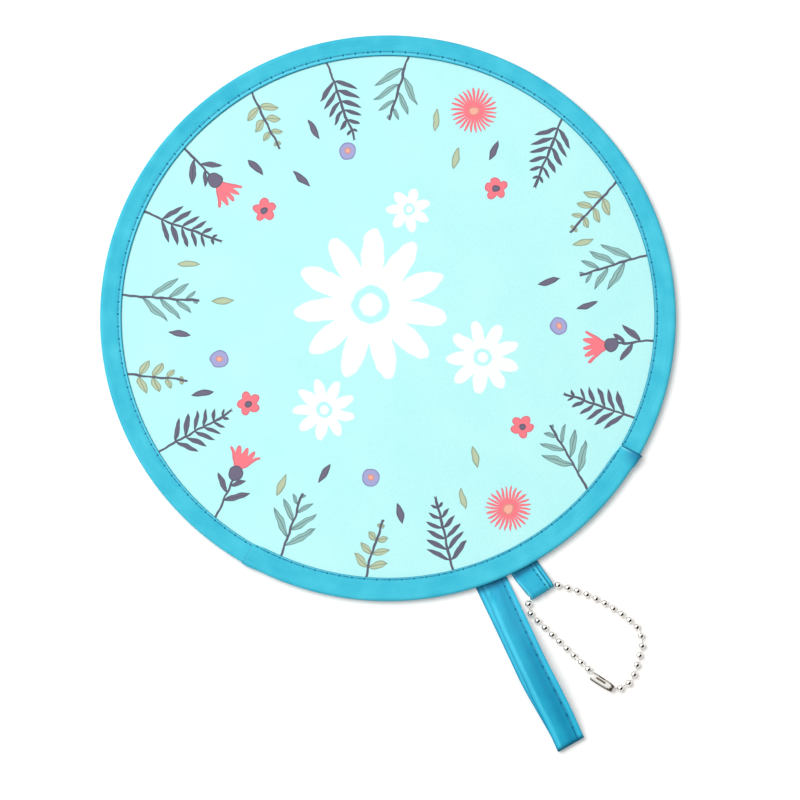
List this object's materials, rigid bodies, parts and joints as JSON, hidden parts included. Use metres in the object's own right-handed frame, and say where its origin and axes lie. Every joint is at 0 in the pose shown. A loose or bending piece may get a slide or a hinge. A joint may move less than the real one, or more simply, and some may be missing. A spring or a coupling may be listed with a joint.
{
  "type": "hand fan",
  "caption": "Pop-open round fabric hand fan on a spring hoop, with bound rim, handle strap, and a ball chain with clasp on a sewn tab.",
  "frame": {"origin": "centre of the fabric's back face", "axes": "+Z out of the printed face, shortest way through the fan; -Y towards the handle strap; +Y along the longest way"},
  "size_m": [0.2, 0.2636, 0.0037],
  "materials": {
    "nonwoven": "matt printed nonwoven",
    "binding_cloth": "satin woven tape",
    "spring_steel": "drawn",
    "nickel": "bright nickel plate"
  },
  "bodies": {
    "fan": {"fabric_disc": "nonwoven", "hoop_wire": "spring_steel", "hoop_ferrule": "spring_steel", "binding_long": "binding_cloth", "binding_short": "binding_cloth", "handle_strap_root": "binding_cloth", "chain_tab_root": "binding_cloth"},
    "strap": {"handle_strap": "binding_cloth"},
    "tab": {"chain_tab": "binding_cloth"},
    "chain_in_tab": {"chain_bead_tab_1": "nickel", "chain_bead_tab_2": "nickel", "chain_bead_tab_3": "nickel"},
    "right_link_01": {"chain_bead_right_01": "nickel"},
    "right_link_02": {"chain_bead_right_02": "nickel"},
    "right_link_03": {"chain_bead_right_03": "nickel"},
    "right_link_04": {"chain_bead_right_04": "nickel"},
    "right_link_05": {"chain_bead_right_05": "nickel"},
    "right_link_06": {"chain_bead_right_06": "nickel"},
    "right_link_07": {"chain_bead_right_07": "nickel"},
    "right_link_08": {"chain_bead_right_08": "nickel"},
    "right_link_09": {"chain_bead_right_09": "nickel"},
    "right_link_10": {"chain_bead_right_10": "nickel"},
    "right_link_11": {"chain_bead_right_11": "nickel"},
    "right_link_12": {"chain_bead_right_12": "nickel"},
    "right_link_13": {"chain_bead_right_13": "nickel"},
    "right_link_14": {"chain_bead_right_14": "nickel"},
    "right_link_15": {"chain_bead_right_15": "nickel"},
    "right_link_16": {"chain_bead_right_16": "nickel"},
    "right_link_17": {"chain_bead_right_17": "nickel"},
    "clasp": {"chain_clasp": "nickel", "chain_bead_clasp_right": "nickel", "chain_bead_clasp_left": "nickel"},
    "left_link_01": {"chain_bead_left_01": "nickel"},
    "left_link_02": {"chain_bead_left_02": "nickel"},
    "left_link_03": {"chain_bead_left_03": "nickel"},
    "left_link_04": {"chain_bead_left_04": "nickel"},
    "left_link_05": {"chain_bead_left_05": "nickel"},
    "left_link_06": {"chain_bead_left_06": "nickel"},
    "left_link_07": {"chain_bead_left_07": "nickel"},
    "left_link_08": {"chain_bead_left_08": "nickel"},
    "left_link_09": {"chain_bead_left_09": "nickel"},
    "left_link_10": {"chain_bead_left_10": "nickel"}
  },
  "joints": [
    {"name": "strap_fold", "type": "hinge", "parent": "fan", "child": "strap", "pos_m": [-0.00053, -0.1015, -0.00155], "axis": [-0.9994, -0.0349, 0], "range_deg": [-110, 110]},
    {"name": "tab_fold", "type": "hinge", "parent": "fan", "child": "tab", "pos_m": [0.01079, -0.10093, -0.00155], "axis": [-0.9863, -0.1651, 0], "range_deg": [-110, 90]},
    {"name": "chain_turn", "type": "hinge", "parent": "tab", "child": "chain_in_tab", "pos_m": [0.01204, -0.10842, -0.00015], "axis": [0.9863, 0.1651, 0], "range_deg": [-75, 75]},
    {"name": "right_link_01_swing", "type": "hinge", "parent": "chain_in_tab", "child": "right_link_01", "pos_m": [0.01795, -0.10916, -0.00042], "axis": [-0.4617, -0.887, 0], "range_deg": [-28, 28]},
    {"name": "right_link_02_swing", "type": "hinge", "parent": "right_link_01", "child": "right_link_02", "pos_m": [0.02074, -0.11116, -0.00074], "axis": [0.5948, 0.8039, 0], "range_deg": [-28, 28]},
    {"name": "right_link_03_swing", "type": "hinge", "parent": "right_link_02", "child": "right_link_03", "pos_m": [0.0234, -0.11336, -0.00077], "axis": [-0.6414, -0.7672, 0], "range_deg": [-28, 28]},
    {"name": "right_link_04_swing", "type": "hinge", "parent": "right_link_03", "child": "right_link_04", "pos_m": [0.02592, -0.11571, -0.00077], "axis": [0.6858, 0.7278, 0], "range_deg": [-28, 28]},
    {"name": "right_link_05_swing", "type": "hinge", "parent": "right_link_04", "child": "right_link_05", "pos_m": [0.0283, -0.11821, -0.00077], "axis": [-0.7278, -0.6858, 0], "range_deg": [-28, 28]},
    {"name": "right_link_06_swing", "type": "hinge", "parent": "right_link_05", "child": "right_link_06", "pos_m": [0.03053, -0.12084, -0.00077], "axis": [0.7672, 0.6415, 0], "range_deg": [-28, 28]},
    {"name": "right_link_07_swing", "type": "hinge", "parent": "right_link_06", "child": "right_link_07", "pos_m": [0.03259, -0.12361, -0.00077], "axis": [-0.8038, -0.5948, 0], "range_deg": [-28, 28]},
    {"name": "right_link_08_swing", "type": "hinge", "parent": "right_link_07", "child": "right_link_08", "pos_m": [0.03449, -0.12648, -0.00077], "axis": [0.8377, 0.5461, 0], "range_deg": [-28, 28]},
    {"name": "right_link_09_swing", "type": "hinge", "parent": "right_link_08", "child": "right_link_09", "pos_m": [0.03622, -0.12947, -0.00077], "axis": [-0.8686, -0.4955, 0], "range_deg": [-28, 28]},
    {"name": "right_link_10_swing", "type": "hinge", "parent": "right_link_09", "child": "right_link_10", "pos_m": [0.03776, -0.13256, -0.00077], "axis": [0.8965, 0.4431, 0], "range_deg": [-28, 28]},
    {"name": "right_link_11_swing", "type": "hinge", "parent": "right_link_10", "child": "right_link_11", "pos_m": [0.03818, -0.13597, -0.00077], "axis": [-0.9959, -0.0907, 0], "range_deg": [-28, 28]},
    {"name": "right_link_12_swing", "type": "hinge", "parent": "right_link_11", "child": "right_link_12", "pos_m": [0.03735, -0.13931, -0.00077], "axis": [0.9617, -0.2739, 0], "range_deg": [-28, 28]},
    {"name": "right_link_13_swing", "type": "hinge", "parent": "right_link_12", "child": "right_link_13", "pos_m": [0.03537, -0.14213, -0.00077], "axis": [-0.7986, 0.6018, 0], "range_deg": [-28, 28]},
    {"name": "right_link_14_swing", "type": "hinge", "parent": "right_link_13", "child": "right_link_14", "pos_m": [0.03327, -0.14486, -0.00077], "axis": [0.7934, -0.6087, 0], "range_deg": [-28, 28]},
    {"name": "right_link_15_swing", "type": "hinge", "parent": "right_link_14", "child": "right_link_15", "pos_m": [0.03115, -0.14758, -0.00077], "axis": [-0.788, 0.6156, 0], "range_deg": [-28, 28]},
    {"name": "right_link_16_swing", "type": "hinge", "parent": "right_link_15", "child": "right_link_16", "pos_m": [0.02848, -0.14977, -0.00077], "axis": [0.6157, -0.788, 0], "range_deg": [-28, 28]},
    {"name": "right_link_17_swing", "type": "hinge", "parent": "right_link_16", "child": "right_link_17", "pos_m": [0.02518, -0.15072, -0.00061], "axis": [-0.2419, 0.9703, 0], "range_deg": [-28, 28]},
    {"name": "clasp_swing", "type": "hinge", "parent": "right_link_17", "child": "clasp", "pos_m": [0.02194, -0.14961, -0.00044], "axis": [-0.3746, -0.9272, 0], "range_deg": [-28, 28]},
    {"name": "left_link_01_swing", "type": "hinge", "parent": "chain_in_tab", "child": "left_link_01", "pos_m": [0.00812, -0.10932, -0.00018], "axis": [0.8241, -0.5664, 0], "range_deg": [-28, 28]},
    {"name": "left_link_02_swing", "type": "hinge", "parent": "left_link_01", "child": "left_link_02", "pos_m": [0.00631, -0.11222, -0.00051], "axis": [-0.9936, 0.1132, 0], "range_deg": [-28, 28]},
    {"name": "left_link_03_swing", "type": "hinge", "parent": "left_link_02", "child": "left_link_03", "pos_m": [0.00608, -0.11563, -0.00081], "axis": [0.9172, 0.3985, 0], "range_deg": [-28, 28]},
    {"name": "left_link_04_swing", "type": "hinge", "parent": "left_link_03", "child": "left_link_04", "pos_m": [0.00746, -0.11879, -0.00081], "axis": [-0.9172, -0.3985, 0], "range_deg": [-28, 28]},
    {"name": "left_link_05_swing", "type": "hinge", "parent": "left_link_04", "child": "left_link_05", "pos_m": [0.00883, -0.12196, -0.00081], "axis": [0.9172, 0.3985, 0], "range_deg": [-28, 28]},
    {"name": "left_link_06_swing", "type": "hinge", "parent": "left_link_05", "child": "left_link_06", "pos_m": [0.01021, -0.12512, -0.00081], "axis": [-0.9172, -0.3985, 0], "range_deg": [-28, 28]},
    {"name": "left_link_07_swing", "type": "hinge", "parent": "left_link_06", "child": "left_link_07", "pos_m": [0.01158, -0.12829, -0.00081], "axis": [0.9172, 0.3985, 0], "range_deg": [-28, 28]},
    {"name": "left_link_08_swing", "type": "hinge", "parent": "left_link_07", "child": "left_link_08", "pos_m": [0.01295, -0.13145, -0.00081], "axis": [-0.9172, -0.3985, 0], "range_deg": [-28, 28]},
    {"name": "left_link_09_swing", "type": "hinge", "parent": "left_link_08", "child": "left_link_09", "pos_m": [0.01433, -0.13462, -0.00079], "axis": [0.9172, 0.3985, 0], "range_deg": [-28, 28]},
    {"name": "left_link_10_swing", "type": "hinge", "parent": "left_link_09", "child": "left_link_10", "pos_m": [0.0157, -0.13778, -0.00061], "axis": [-0.9172, -0.3985, 0], "range_deg": [-28, 28]}
  ]
}
